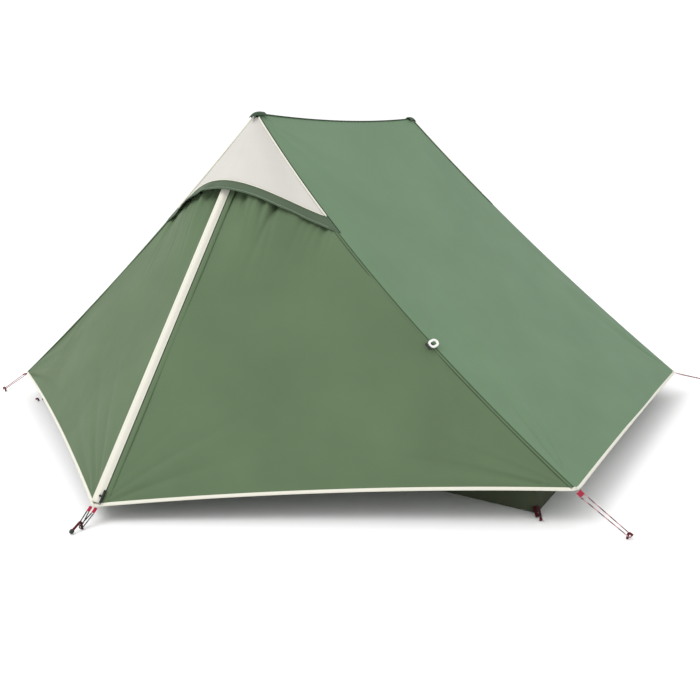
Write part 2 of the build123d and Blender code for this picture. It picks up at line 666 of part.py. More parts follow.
ferrules = Part()
for number in range(1, POLE_SECTIONS):
    with BuildPart() as ferrule:
        with BuildSketch(on_pole(SECTION_START + number * section_length - FERRULE_LENGTH / 2)):
            Circle(FERRULE_RADIUS)
            Circle(POLE_RADIUS + POLE_FIT, mode=Mode.SUBTRACT)
        extrude(amount=FERRULE_LENGTH)
    ferrules = ferrules + ferrule.part
save(both_ends(ferrules), "pole_ferrules")

with BuildPart() as bungee:
    with BuildSketch(on_pole(SECTION_START + BUNGEE_GAP)):
        Circle(BUNGEE_RADIUS)
    extrude(amount=pole_length - SECTION_START - 2 * BUNGEE_GAP)
save(both_ends(bungee.part), "pole_bungees")

with BuildPart() as pole_cap:
    with BuildSketch(on_pole(pole_length + SECTION_GAP)):
        Circle(FERRULE_RADIUS)
    extrude(amount=POLE_CAP_LENGTH)
    fillet(pole_cap.edges().group_by(Axis.Z)[-1], POLE_CAP_ROUND)
save(both_ends(pole_cap.part), "pole_caps")

with BuildPart() as pole_foot:
    with BuildSketch(on_pole(-SECTION_START)):
        Circle(FOOT_RADIUS)
    extrude(amount=FOOT_HEIGHT + SECTION_START, taper=FOOT_TAPER)
    with BuildSketch(on_pole(SECTION_START)):
        Circle(POLE_RADIUS + POLE_FIT)
    extrude(amount=FOOT_HEIGHT, mode=Mode.SUBTRACT)
    split(bisect_by=Plane.XY, keep=Keep.TOP)
save(both_ends(pole_foot.part), "pole_feet")
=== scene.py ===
import math

import bpy
import numpy as np
from mathutils import Matrix, Vector


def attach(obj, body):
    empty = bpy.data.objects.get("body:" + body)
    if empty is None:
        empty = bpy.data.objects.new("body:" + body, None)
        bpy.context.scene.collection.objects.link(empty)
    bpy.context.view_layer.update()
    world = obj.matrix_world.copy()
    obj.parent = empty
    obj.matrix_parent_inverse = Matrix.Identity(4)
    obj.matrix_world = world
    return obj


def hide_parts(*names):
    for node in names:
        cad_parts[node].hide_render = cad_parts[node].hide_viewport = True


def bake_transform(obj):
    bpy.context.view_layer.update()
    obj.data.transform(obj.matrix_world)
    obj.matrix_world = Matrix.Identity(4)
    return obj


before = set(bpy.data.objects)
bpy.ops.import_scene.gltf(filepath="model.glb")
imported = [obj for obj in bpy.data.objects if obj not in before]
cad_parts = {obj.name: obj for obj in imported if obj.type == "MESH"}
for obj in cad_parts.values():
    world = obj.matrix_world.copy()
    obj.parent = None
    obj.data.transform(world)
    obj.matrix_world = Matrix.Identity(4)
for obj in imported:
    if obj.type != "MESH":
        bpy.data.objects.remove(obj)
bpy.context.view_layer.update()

# A two-pole ridge tent, in metres. Front is -Y, the ridge runs along Y, +X is the right side.

# ---- dimensions that the CAD model and this scene share ---------------------------------------
APEX = np.array((0, -0.553, 1.127))
TIP = np.array((0, -1.359, 0.049))
CORNER = np.array((1.167, -0.678, 0.102))
SEAM_SAG = (0.075, 0.062)
RIDGE_SAG, ROOF_MID_DEPTH = 0.018, 0.008
SIDE_HEM_RISE, DOOR_HEM_RISE = 0.004, 0.018
HOOD_START, HOOD_END, HOOD_DROP, HOOD_PROUD = 0.012, 0.288, 0.200, 0.014
HOOD_BULGE = (0.0, 0.467, 2.04, 0.467, 0.0)
CREASE_SHARE = 0.8
BRIM_HEIGHT, BRIM_FLARE, BRIM_END = 0.030, 0.006, 0.333
ZIP_TOP_SHARE = 0.245
BINDING = 0.010
CHAIN_START, CHAIN_WIDTH = 0.050, 0.0055
FLAP_WIDTH, FLAP_START = 0.018, 0.014
TIP_PEG_HEAD = ((0, -1.4050, 0.0248), (0, -1.4420, 0.0058))
INNER_LENGTH, INNER_WIDTH = 2.100, 1.328
TUB_HEIGHT, TUB_LEAN = 0.120, 0.025
INNER_RIDGE_Y, INNER_RIDGE_Z = 0.500, 0.990
INNER_DOOR_HALF, INNER_DOOR_TOP = 0.440, 0.86
GUY_DIAMETER, SHOCK_DIAMETER = 0.0030, 0.0032
TOGGLE_SHARE = 0.63

# ---- dimensions of the looks alone ------------------------------------------------------------
CLOTH = 0.0008  # thickness of one layer
PANEL_STEPS, HOOD_STEPS, INNER_STEPS, RIBBON_STEPS, TRIM_STEPS = 150, 48, 30, 120, 60
CORNER_SHARE, CORNER_REACH = 0.0028, 0.024  # how the hem turns at a pegged corner
CORNER_POWER = 24  # how tightly that turn keeps to the hem
HEM_OVERHANG, HEM_BACK, HEM_THICK = 0.001, 0.0014, 0.0032  # hem tape, folded over the cloth
PANEL_TOP, PANEL_FALL, PANEL_TUCK = 0.812, 0.105, 0.004  # an end panel's top edge, behind the hood
ROOF_SWELL, PANEL_SWELL = (0.55, 0.0040), (0.50, 0.0050)  # wavelength and height of broad swells
HOOD_SWELL, INNER_SWELL = (0.11, 0.0034), (0.22, 0.0035)
GATHER_REACH, GATHER_COUNT, GATHER_DEPTH = 0.40, 20, 0.0085  # puckers below the brim
# how far in from its edges a sheet's wrinkles reach their full height, as shares of its sides
ROOF_QUIET_SEAM, ROOF_QUIET_RIDGE, ROOF_QUIET_HEM = 0.045, 0.03, 0.02
PANEL_QUIET_ZIP, PANEL_QUIET_SEAM, PANEL_QUIET_HEM = 0.035, 0.03, 0.02
HOOD_QUIET, INNER_QUIET = 0.08, 0.1
TUCK_START, TUCK_RAMP = 0.94, 0.05  # shares of a panel's height over which its top tucks in
BRIM_CLEAR = 0.0065  # from an end panel to the brim in front of it
BULGE_START, BULGE_RAMP = 0.036, 0.080  # from the zip line to where a panel swells out to the brim
BULGE_REACH, BULGE_FADE = 0.17, 1.6  # how that swelling dies away below the brim
FLAP_TOP = 1.062  # upper end of the cream strip, up the zip line
STRIP_GAP = 0.0001  # half the gap between the strip's two halves
COIL_TOP_GAP, COIL_INSET, COIL_LIFT, COIL_THICK = 0.012, 0.001, 0.0005, 0.0012
GUARD_WIDTH, FLAP_SHADOW_WIDTH, GUARD_LIFT, GUARD_THICK = 0.015, 0.0034, 0.0004, 0.0012
GUARD_LATE = 0.004  # how much further up than the strip the guard starts
SEAM_LIFT, SEAM_THICK = 0.0004, 0.0014
BRIM_HANG = 0.26  # how much deeper the brim hangs at its middle than in the CAD
BRIM_THICK, BRIM_WAVE, BRIM_WAVE_HANG = 0.003, 0.0046, 22
HOOD_LENGTH, HOOD_FLAT = 0.3, (0.62, 0.36)
CREASE_HEIGHT, CREASE_HALF = 0.0035, 0.018  # the hood's centre crease; its half width as a share
PIPING_RADIUS, PIPING_LIFT = 0.0029, 0.002
BRIM_PIPING_RADIUS, BRIM_PIPING_LIFT, BRIM_PIPING_STEPS = 0.0017, 0.0032, 90
# a dark tube along each roof edge beside the hood piping, a painted shadow line: its radius, and how far
# back it sits
ROOF_EDGE_SHADOW_RADIUS, ROOF_EDGE_SHADOW_BACK = 0.0022, 0.0048
BRIM_LINE_RADIUS, BRIM_LINE_LIFT, BRIM_LINE_SHARE = 0.0008, 0.0036, 0.84
RIDGE_SEAM_RADIUS, RIDGE_SEAM_LIFT = 0.0026, 0.0008
SLEEVE_RADIUS, SLEEVE_STEPS, SLEEVE_START, SLEEVE_END = 0.0068, 9, 0.74, 1.04  # black end of a tip peg
FLOOR_LIFT, WALL_LIFT = 0.002, 0.001  # tub's floor and the foot of its walls, off the ground
INNER_GAP = 0.0015  # from an inner door to the wall beside it and the tub below it
DOOR_POINT_HALF, DOOR_POINT_DROP = 0.001, 0.009  # an inner door's blunt point, below its opening's peak
TUB_SAG, SIDE_SAG, END_SAG, INNER_DOOR_SAG = 0.006, 0.020, 0.008, 0.006
FLOOR_Z, FLOOR_REACH = -0.0008, 14.0


def unit(vector):
    """A vector, made one long."""
    return np.asarray(vector, float) / np.linalg.norm(vector)


def unit_rows(vectors):
    """Each row of an array, made one long."""
    return vectors / np.linalg.norm(vectors, axis=1)[:, None]


UP_ZIP = unit(APEX - TIP)
ZIP_LENGTH = np.linalg.norm(APEX - TIP)
DOOR_NORMAL = unit(np.cross(CORNER - APEX, TIP - APEX))
DOOR_NORMAL = -DOOR_NORMAL if DOOR_NORMAL[1] > 0 else DOOR_NORMAL
DOOR_X = np.cross(UP_ZIP, DOOR_NORMAL)
HEM_ALONG = unit(CORNER - TIP)
HEM_UP = unit(np.cross(DOOR_NORMAL, HEM_ALONG))
ROOF_NORMAL = unit((APEX[2] - CORNER[2], 0, CORNER[0]))
DOWN_ROOF = unit((CORNER[0], 0, CORNER[2] - APEX[2]))
HOOD_NORMAL = unit((0, TIP[2] - APEX[2], APEX[1] - TIP[1]))
SEAM_INWARD = unit(np.cross(DOOR_NORMAL, CORNER - APEX))
SEAM_INWARD = -SEAM_INWARD if SEAM_INWARD[2] > 0 else SEAM_INWARD
SEAM = [
    APEX,
    APEX + (CORNER - APEX) / 3 + SEAM_INWARD * SEAM_SAG[0],
    APEX + (CORNER - APEX) * 2 / 3 + SEAM_INWARD * SEAM_SAG[1],
    CORNER,
]
ZIP_TOP = APEX + (TIP - APEX) * ZIP_TOP_SHARE
FOLD_DOWN = unit(np.cross(unit(CORNER - ZIP_TOP), DOOR_NORMAL))
FOLD_DOWN = -FOLD_DOWN if FOLD_DOWN[2] > 0 else FOLD_DOWN

# each corner of the tent as signs on X and Y of the front right one, and a mirror to the left side
PLACES = {"front_right": (1, 1), "front_left": (-1, 1), "rear_left": (-1, -1), "rear_right": (1, -1)}
TO_LEFT = (-1, 1, 1)


def moved(points, place):
    """Points of the front right corner, at another corner."""
    return np.asarray(points, float) * (*PLACES[place], 1)


# ---- camera and light -------------------------------------------------------------------------
def add_camera(place, yaw, pitch, roll, lens):
    """The camera, looking down by pitch, from yaw degrees round from the front."""
    a, e, r = (math.radians(angle) for angle in (yaw, pitch, roll))
    back = Vector((math.sin(a) * math.cos(e), -math.cos(a) * math.cos(e), math.sin(e)))
    level = Vector((math.cos(a), math.sin(a), 0))
    upright = back.cross(level)
    across = level * math.cos(r) + upright * math.sin(r)
    up = upright * math.cos(r) - level * math.sin(r)
    camera = bpy.data.objects.new("camera", bpy.data.cameras.new("camera"))
    camera.data.lens, camera.data.sensor_width = lens, 36.0
    camera.matrix_world = Matrix((across, up, back)).transposed().to_4x4()
    camera.location = place
    bpy.context.scene.collection.objects.link(camera)
    bpy.context.scene.camera = camera


add_camera(place=(1.729, -2.777, 1.047), yaw=31.71, pitch=14.53, roll=-0.42, lens=42.06)


def add_light(name, place, target, size, power):
    """A square lamp that faces its target."""
    light = bpy.data.objects.new(name, bpy.data.lights.new(name, "AREA"))
    light.data.size, light.data.energy = size, power
    light.location = place
    light.rotation_euler = (Vector(target) - Vector(place)).to_track_quat("-Z", "Y").to_euler()
    bpy.context.scene.collection.objects.link(light)


add_light("key", place=(-2.2, -5.5, 7.5), target=(0, -0.3, 0.4), size=4.6, power=330)
world = bpy.data.worlds.new("studio")
world.use_nodes = True
world.node_tree.nodes["Background"].inputs["Color"].default_value = (1, 1, 1, 1)
world.node_tree.nodes["Background"].inputs["Strength"].default_value = 1.06
bpy.context.scene.world = world
bpy.context.scene.view_settings.view_transform = "Standard"


# ---- materials --------------------------------------------------------------------------------
class Finish:
    """A node material under construction: one shader, with colour and bump built from parts."""

    def __init__(self, name, roughness, metallic=0.0, sheen=0.0, coat=0.0, attribute=True, specular=0.5):
        self.material = bpy.data.materials.new(name)
        self.material.use_nodes = True
        self.tree = self.material.node_tree
        self.shader = self.tree.nodes["Principled BSDF"]
        self.shader.inputs["Metallic"].default_value = metallic
        self.shader.inputs["Roughness"].default_value = roughness
        self.shader.inputs["Sheen Weight"].default_value = sheen
        self.shader.inputs["Coat Weight"].default_value = coat
        self.shader.inputs["Specular IOR Level"].default_value = specular
        if attribute:
            source = self.node("ShaderNodeAttribute")
            source.attribute_name = "cloth"
            self.place = source.outputs["Vector"]
        else:
            self.place = self.node("ShaderNodeTexCoord").outputs["Object"]
        self.height = None

    def node(self, kind, **inputs):
        """A new node, with values for its inputs."""
        made = self.tree.nodes.new(kind)
        for key, value in inputs.items():
            made.inputs[key].default_value = value
        return made

    def link(self, start, end):
        """Join one node's output to another's input."""
        self.tree.links.new(start, end)

    def noise(self, scale, detail=3.0):
        """Cloudy variation, with the given number of clouds to a metre."""
        made = self.node("ShaderNodeTexNoise", Scale=scale, Detail=detail)
        self.link(self.place, made.inputs["Vector"])
        return made.outputs["Fac"]

    def stripes(self, period, direction):
        """Soft stripes across a direction, one each period."""
        dot = self.node("ShaderNodeVectorMath")
        dot.operation = "DOT_PRODUCT"
        self.link(self.place, dot.inputs[0])
        dot.inputs[1].default_value = tuple(d * 2 * math.pi / period for d in direction)
        wave = self.node("ShaderNodeMath")
        wave.operation = "SINE"
        self.link(dot.outputs["Value"], wave.inputs[0])
        lifted = self.node("ShaderNodeMapRange")
        lifted.inputs["From Min"].default_value = -1
        self.link(wave.outputs[0], lifted.inputs["Value"])
        return lifted.outputs["Result"]

    def colour(self, factor, dark, light, low=0.3, high=0.7):
        """A base colour that runs from dark to light as the factor runs from low to high."""
        ramp = self.node("ShaderNodeValToRGB")
        ramp.color_ramp.elements[0].position, ramp.color_ramp.elements[1].position = low, high
        ramp.color_ramp.elements[0].color = (*dark, 1)
        ramp.color_ramp.elements[1].color = (*light, 1)
        self.link(factor, ramp.inputs["Fac"])
        self.link(ramp.outputs["Color"], self.shader.inputs["Base Color"])

    def bump(self, factor, distance, strength=0.5):
        """One more layer of relief, on top of the ones before."""
        made = self.node("ShaderNodeBump", Strength=strength, Distance=distance)
        self.link(factor, made.inputs["Height"])
        if self.height is not None:
            self.link(self.height, made.inputs["Normal"])
        self.height = made.outputs["Normal"]
        self.link(self.height, self.shader.inputs["Normal"])

    def vary_roughness(self, factor, low, high):
        """A roughness that runs from low to high with the factor."""
        spread = self.node("ShaderNodeMapRange")
        spread.inputs["To Min"].default_value, spread.inputs["To Max"].default_value = low, high
        self.link(factor, spread.inputs["Value"])
        self.link(spread.outputs["Result"], self.shader.inputs["Roughness"])


WEAVE, WEAVE_DEPTH = 0.0011, 0.00008  # period and depth of the cloth's threads


def shades(colour, spread):
    """A darker and a lighter shade of a linear colour."""
    return tuple(c * (1 - spread) for c in colour), tuple(min(1, c * (1 + spread)) for c in colour)


def taffeta(name, colour, attribute=True, spread=0.09):
    """Thin coated cloth: blotches broader than a hand, crinkles, and a fine crossed weave."""
    cloth = Finish(name, 0.5, attribute=attribute, specular=0.05)
    cloth.colour(cloth.noise(3.2), *shades(colour, spread))
    cloth.vary_roughness(cloth.noise(7.0), 0.40, 0.58)
    cloth.bump(cloth.noise(16.0, 5.0), 0.006, 0.22)
    for direction in ((1, 0, 0), (0, 1, 0)):
        cloth.bump(cloth.stripes(WEAVE, direction), WEAVE_DEPTH, 0.3)
    return cloth.material


def tape(name, colour, attribute=True, period=0.004, direction=(0.7, 0.7, 0)):
    """Woven tape or webbing with diagonal ribs, with painted shade in the grooves between them."""
    woven = Finish(name, 0.75, sheen=0.08, attribute=attribute, specular=0.08)
    # the colour runs with the ribs' relief, darker in each groove: painted shade
    woven.colour(woven.stripes(period, direction), *shades(colour, 0.10), low=0.0, high=1.0)
    woven.bump(woven.stripes(period, direction), 0.0006, 0.6)
    return woven.material


def moulded(name, colour, roughness, metallic=0.0, coat=0.0, grain=400.0):
    """Metal, plastic or rubber with a fine grain and slight wear."""
    hard = Finish(name, roughness, metallic=metallic, coat=coat, attribute=False, specular=0.3)
    hard.colour(hard.noise(45.0, 6.0), *shades(colour, 0.18))
    hard.vary_roughness(hard.noise(90.0), roughness * 0.8, min(1.0, roughness * 1.3))
    hard.bump(hard.noise(grain), 0.0003, 0.25)
    return hard.material


STRAND, STRAND_DEPTH = 0.0022, 0.0004  # period and depth of a braided cord's strands


def flecked(name, dark, light, period):
    """A braided cord with a light fleck at each turn of the braid."""
    braid = Finish(name, 0.7, attribute=False)
    along = (0.7, 0.5, 0.5)
    braid.colour(braid.stripes(period, along), dark, light, low=0.62, high=0.80)
    braid.bump(braid.stripes(STRAND, along), STRAND_DEPTH, 0.6)
    return braid.material


# the end panels are the roof's fabric; their green is the roof's made darker, a painted shade for steep
# cloth that catches less light
GREEN_ROOF, SHADED_DOOR_GREEN, CREAM = (0.136, 0.216, 0.132), (0.102, 0.150, 0.083), (0.68, 0.665, 0.58)
ROOF_CLOTH = taffeta("roof_cloth", GREEN_ROOF, spread=0.05)
SHADED_DOOR_CLOTH = taffeta("door_cloth", SHADED_DOOR_GREEN, spread=0.07)
# dark cloth for real stitching and the ridge seam, and for painted shadow lines along the roof's edges and
# the end panels' seams
DARK_CLOTH = taffeta("seam_and_shadow_cloth", (0.040, 0.066, 0.038))
BRIM_CLOTH = taffeta("brim_cloth", (0.080, 0.112, 0.072))
HOOD_CLOTH = taffeta("hood_cloth", (0.53, 0.517, 0.482), spread=0.06)
CAP_CLOTH = taffeta("cap_cloth", (0.050, 0.080, 0.050), attribute=False)
TUB_CLOTH = taffeta("tub_cloth", (0.062, 0.074, 0.046))
INNER_CLOTH = taffeta("inner_cloth", (0.46, 0.47, 0.44), spread=0.05)
HEM_TAPE = tape("hem_tape", CREAM, direction=(0, 1, 0), period=0.003)
FLAP_TAPE = tape("flap_tape", CREAM, period=0.0028)
COIL_TAPE = tape("zip_coil", CREAM, direction=(0, 1, 0), period=0.003)
LINE_TAPE = tape("brim_line", (0.20, 0.27, 0.20), direction=(0, 1, 0), period=0.003)
# near-black tape laid under the cream strip's free edge: a painted shadow
FLAP_SHADOW_TAPE = tape("flap_shadow_line", (0.020, 0.028, 0.020), direction=(0, 1, 0), period=0.003)
RED_WEBBING = tape("red_webbing", (0.33, 0.008, 0.034), attribute=False, period=0.003)
# the red webbing darkened for the inner corner loops: painted shade under the fly
SHADED_RED_WEBBING = tape("red_webbing_painted_shade", (0.055, 0.005, 0.010), attribute=False, period=0.003)
GREY_WEBBING = tape("grey_webbing", (0.10, 0.10, 0.098), attribute=False, period=0.003)
WHITE_ELASTIC = tape("white_elastic", (0.80, 0.80, 0.77), attribute=False, period=0.002)
GUY_BRAID = flecked("guy_braid", (0.110, 0.018, 0.030), (0.50, 0.25, 0.28), 0.011)
SHOCK_BRAID = flecked("shock_braid", (0.008, 0.008, 0.008), (0.03, 0.03, 0.03), 0.006)
PEG_METAL = moulded("peg_metal", (0.100, 0.008, 0.012), 0.34, metallic=0.6)
POLE_GLASS = moulded("pole_glass_fibre", (0.045, 0.045, 0.045), 0.35, coat=0.3)
STEEL = moulded("ferrule_steel", (0.58, 0.58, 0.60), 0.30, metallic=1.0)
BLACK_PLASTIC = moulded("black_plastic", (0.016, 0.016, 0.016), 0.30, coat=0.2)
BLACK_METAL = moulded("slider_metal", (0.020, 0.020, 0.020), 0.40, metallic=0.5)
BLACK_RUBBER = moulded("black_rubber", (0.028, 0.028, 0.028), 0.75)
FLOOR_FINISH = Finish("pale_floor", 0.85, attribute=False)
FLOOR_FINISH.colour(FLOOR_FINISH.noise(0.6), (0.955, 0.955, 0.955), (0.975, 0.975, 0.975))


# ---- mesh helpers -----------------------------------------------------------------------------
def mesh_object(name, vertices, faces, finish, cloth=None):
    """A smooth mesh piece. cloth holds each vertex's place on the flat cloth."""
    mesh = bpy.data.meshes.new(name)
    mesh.from_pydata([tuple(v) for v in vertices], [], faces)
    mesh.validate()
    mesh.polygons.foreach_set("use_smooth", [True] * len(mesh.polygons))
    if cloth is not None:
        attribute = mesh.attributes.new("cloth", "FLOAT_VECTOR", "POINT")
        attribute.data.foreach_set("vector", np.asarray(cloth, np.float32).ravel())
    mesh.materials.append(finish)
    made = bpy.data.objects.new(name, mesh)
    bpy.context.scene.collection.objects.link(made)
    return made


def sheet_mesh(name, points, flat, finish, flip=False):
    """A thin sheet from a grid of points (rows, columns, 3), with its places on the flat cloth."""
    rows, columns = points.shape[:2]
    faces = []
    for r in range(rows - 1):
        for c in range(columns - 1):
            corner = r * columns + c
            quad = (corner, corner + 1, corner + columns + 1, corner + columns)
            faces.append(quad[::-1] if flip else quad)
    cloth = np.concatenate([flat, np.zeros((rows, columns, 1))], axis=2).reshape(-1, 3)
    made = mesh_object(name, points.reshape(-1, 3), faces, finish, cloth)
    solid = made.modifiers.new("thickness", "SOLIDIFY")
    solid.thickness, solid.offset = CLOTH, 0.0
    return made


ROUND_CLOTH = 0.02  # cloth that goes once round any tube or tape


def loft(name, rings, finish, flip=False):
    """A closed tube through rings of points (stations, points, 3)."""
    stations, count = rings.shape[:2]
    faces = [list(range(count))[::-1], [(stations - 1) * count + i for i in range(count)]]
    for s in range(stations - 1):
        here, ahead = s * count, (s + 1) * count
        for i in range(count):
            after = (i + 1) % count
            faces.append([here + i, here + after, ahead + after, ahead + i])
    if flip:
        faces = [face[::-1] for face in faces]
    steps = np.linalg.norm(np.diff(rings.mean(axis=1), axis=0), axis=1)
    along = np.concatenate([[0], np.cumsum(steps)])
    turn = np.linspace(0, ROUND_CLOTH, count, endpoint=False)
    cloth = np.stack([np.tile(turn, (stations, 1)), np.repeat(along[:, None], count, 1)], axis=2)
    cloth = np.concatenate([cloth, np.zeros((stations, count, 1))], axis=2).reshape(-1, 3)
    return mesh_object(name, rings.reshape(-1, 3), faces, finish, cloth)


def ribbon_rings(path, across, normal, width, thickness):
    """Rings of a flat tape that starts at the path and runs across it, on the side of the normal."""
    edge = 0.25
    bevel = edge * thickness / width
    profile = [(0, edge), (bevel, 0), (1 - bevel, 0), (1, edge)]
    profile += [(1, 1 - edge), (1 - bevel, 1), (bevel, 1), (0, 1 - edge)]
    rings = [path + across * (a * width) + normal * (h * thickness) for a, h in profile]
    return np.stack(rings, axis=1)


def hem_rings(edge, inward, normal):
    """Rings of the tape folded over a cloth's hem."""
    start = edge - inward * HEM_OVERHANG - normal * HEM_BACK
    return ribbon_rings(start, inward, normal, BINDING, HEM_THICK)


def shaped_rings(path, across, normal, profile):
    """Rings of a strip whose section is given as distances across and heights."""
    return np.stack([path + across * a + normal * h for a, h in profile], axis=1)


OFF_ALL_PATHS = (0.3, 0.5, 0.81)  # a direction that no tube here runs in


def tube_rings(path, radius, count=8):
    """Round rings along a path."""
    tangent = unit_rows(np.gradient(path, axis=0))
    side = unit_rows(np.cross(tangent, OFF_ALL_PATHS))
    over = np.cross(tangent, side)
    turns = np.linspace(0, 2 * math.pi, count, endpoint=False)
    return np.stack([path + radius * (math.cos(t) * side + math.sin(t) * over) for t in turns], axis=1)


def bezier(controls, share):
    """Points of a Bezier curve at an array of shares."""
    points = [np.asarray(c, float) for c in controls]
    share = np.asarray(share, float)[..., None]
    while len(points) > 1:
        points = [a + (b - a) * share for a, b in zip(points, points[1:])]
    return points[0]


def bezier_head(controls, share):
    """Control points of a Bezier curve's part up to a share."""
    points, kept = list(controls), []
    while points:
        kept.append(points[0])
        points = [a + (b - a) * share for a, b in zip(points, points[1:])]
    return kept


def bezier_span(controls, start, end):
    """Control points of a Bezier curve's part between two shares."""
    return bezier_head(bezier_head(controls, end)[::-1], 1 - start / end)[::-1]


def across_rows(rows, share):
    """Points on a cubic surface, from its four rows of points."""
    weights = [(1 - share) ** 3, 3 * share * (1 - share) ** 2, 3 * share**2 * (1 - share), share**3]
    return sum(weight[..., None] * row for weight, row in zip(weights, rows))


def square_grid(steps):
    """Shares from 0 to 1 over a square grid: those that grow by row, and those that grow by column."""
    share = np.linspace(0, 1, steps)
    return np.meshgrid(share, share, indexing="ij")


# ---- wrinkles ---------------------------------------------------------------------------------
def soft_step(value):
    """0 below 0 and 1 above 1, with a smooth rise between."""
    value = np.clip(value, 0, 1)
    return value * value * (3 - 2 * value)


def rays(flat, rng, centre, heading, spread, count, reach, height, sharp=2, start=0.10):
    """Folds that run out from a pulled point, within spread degrees either side of a heading.

    count is the folds to a turn. They reach their height by start, and die away over reach.
    """
    away = flat - np.asarray(centre, float)
    distance = np.linalg.norm(away, axis=-1) + 1e-6
    angle = np.arctan2(away[..., 1], away[..., 0]) - math.radians(heading)
    angle = (angle + math.pi) % (2 * math.pi) - math.pi
    window = soft_step(1 - np.abs(angle) / math.radians(spread))
    phase, wander = rng.uniform(0, 2 * math.pi, 2)
    ridge = np.cos(count * angle + phase + 0.6 * np.sin(distance * 7 + wander))
    rise = distance / (distance + start)
    return height * window * rise * np.exp(-distance / reach) * (0.5 + 0.5 * ridge) ** sharp


def billows(flat, wavelength, height, rng, waves=5):
    """Broad uneven swells."""
    total = np.zeros(flat.shape[:-1])
    for _ in range(waves):
        heading, phase = rng.uniform(0, 2 * math.pi, 2)
        stretch = rng.uniform(0.7, 1.4)
        lead = flat[..., 0] * math.cos(heading) + flat[..., 1] * math.sin(heading)
        total += np.sin(lead * 2 * math.pi / (wavelength * stretch) + phase)
    return height * total / waves


def gathers(across, below, reach, count, height, rng):
    """Uneven puckers that hang from a gathered edge and fade out below it."""
    total = np.zeros(across.shape)
    for _ in range(count):
        place, width = rng.uniform(0.02, reach), rng.uniform(0.0070, 0.0125)
        length, lean, depth = rng.uniform(0.025, 0.085), rng.uniform(-0.12, 0.22), rng.uniform(0.4, 1.0)
        offset = (across - place - lean * below) / width
        total += depth * np.exp(-(offset**2) - below / length)
    return height * total


# ---- cords ------------------------------------------------------------------------------------
# each route leaves its tab, turns round its peg and comes back to the tab
FRONT_GUY = [
    (1.1807, -0.6919, 0.0906), (1.3023, -0.6956, 0.0174), (1.3179, -0.6961, 0.0080),
    (1.3190, -0.6791, 0.0080), (1.3034, -0.6776, 0.0174), (1.1824, -0.6659, 0.0906),
]
REAR_GUY = [
    (1.1873, 0.6855, 0.0954), (1.3346, 0.9228, 0.0134), (1.3443, 0.9384, 0.0080),
    (1.3300, 0.9476, 0.0080), (1.3199, 0.9322, 0.0134), (1.1654, 0.6996, 0.0954),
]
LOW_SHOCK = [
    (0.0138, -1.3699, 0.0368), (0.0089, -1.3940, 0.0169), (0.0059, -1.4085, 0.0050),
    (-0.0079, -1.4085, 0.0050), (-0.0028, -1.3944, 0.0166), (0.0062, -1.3699, 0.0368),
]
HIGH_SHOCK = [
    (0.0138, -1.3699, 0.0368), (0.0091, -1.3933, 0.0233), (0.0059, -1.4096, 0.0140),
    (-0.0079, -1.4096, 0.0140), (-0.0023, -1.3938, 0.0231), (0.0062, -1.3699, 0.0368),
]
FRONT_GUY_LENGTH, REAR_GUY_LENGTH = 0.331, 0.631
LOW_SHOCK_LENGTH, HIGH_SHOCK_LENGTH = 0.111, 0.102


def add_cord(node, route, signs, diameter, finish):
    """A taut doubled cord from its tab, round its peg and back to the tab."""
    curve = bpy.data.curves.new(f"{node}_cord", "CURVE")
    curve.dimensions = "3D"
    curve.bevel_depth = diameter / 2
    curve.bevel_resolution, curve.resolution_u = 3, 24
    curve.use_fill_caps = True
    spline = curve.splines.new("NURBS")
    spline.points.add(len(route) - 1)
    for point, place in zip(spline.points, route):
        point.co = (place[0] * signs[0], place[1] * signs[1], place[2], 1)
    spline.order_u = 3
    spline.use_endpoint_u = True
    curve.materials.append(finish)
    made = bpy.data.objects.new(f"{node}_cord", curve)
    bpy.context.scene.collection.objects.link(made)
    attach(made, "shelter")
    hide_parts(node)


for side, sign in (("right", 1), ("left", -1)):
    for end, route, length in (("front", FRONT_GUY, FRONT_GUY_LENGTH), ("rear", REAR_GUY, REAR_GUY_LENGTH)):
        add_cord(f"guy_line_{end}_{side}", route, (sign, 1), GUY_DIAMETER, GUY_BRAID)
for end, turn in (("front", 1), ("rear", -1)):
    for side, sign, route, length in (
        ("right", turn, LOW_SHOCK, LOW_SHOCK_LENGTH),
        ("left", -turn, HIGH_SHOCK, HIGH_SHOCK_LENGTH),
    ):
        node = f"shock_loop_{end}_{side}"
        add_cord(node, route, (sign, turn), SHOCK_DIAMETER, SHOCK_BRAID)


# ---- roof panels and their hem tapes ----------------------------------------------------------
SLOPE = np.linalg.norm(CORNER * (1, 0, 1) - APEX * (1, 0, 1))
roof_mid = [np.array((0, 0, APEX[2] - 2 * RIDGE_SAG))]
for step in (1, 2):
    along = APEX + (CORNER - APEX) * step / 3
    roof_mid.append(np.array((along[0], 0, along[2])) - ROOF_NORMAL * ROOF_MID_DEPTH)
roof_mid.append(np.array((CORNER[0], 0, CORNER[2])) - DOWN_ROOF * 2 * SIDE_HEM_RISE)
ROOF_NET = [[front, middle, front * (1, -1, 1)] for front, middle in zip(SEAM, roof_mid)]
CORNER_PULL = bezier(SEAM, np.array(1 - CORNER_SHARE)) - CORNER


def corner_shift(distance, nearness):
    """How the hem is drawn up along the seam near the corner, so that it turns in a curve."""
    weight = np.clip(1 - distance / CORNER_REACH, 0, 1) ** 2 * nearness
    return weight[..., None] * CORNER_PULL


def roof_point(across, down):
    """The right roof panel, from the front seam to the rear one, and from the ridge to the hem."""
    plain = across_rows([bezier(row, across) for row in ROOF_NET], down)
    width = -2 * CORNER[1]
    front = corner_shift(across * width, down**CORNER_POWER)
    rear = corner_shift((1 - across) * width, down**CORNER_POWER) * (1, -1, 1)
    return plain + front + rear


ROOF_CORNER_Y = -CORNER[1]
RIDGE_PULL_Y = 0.55
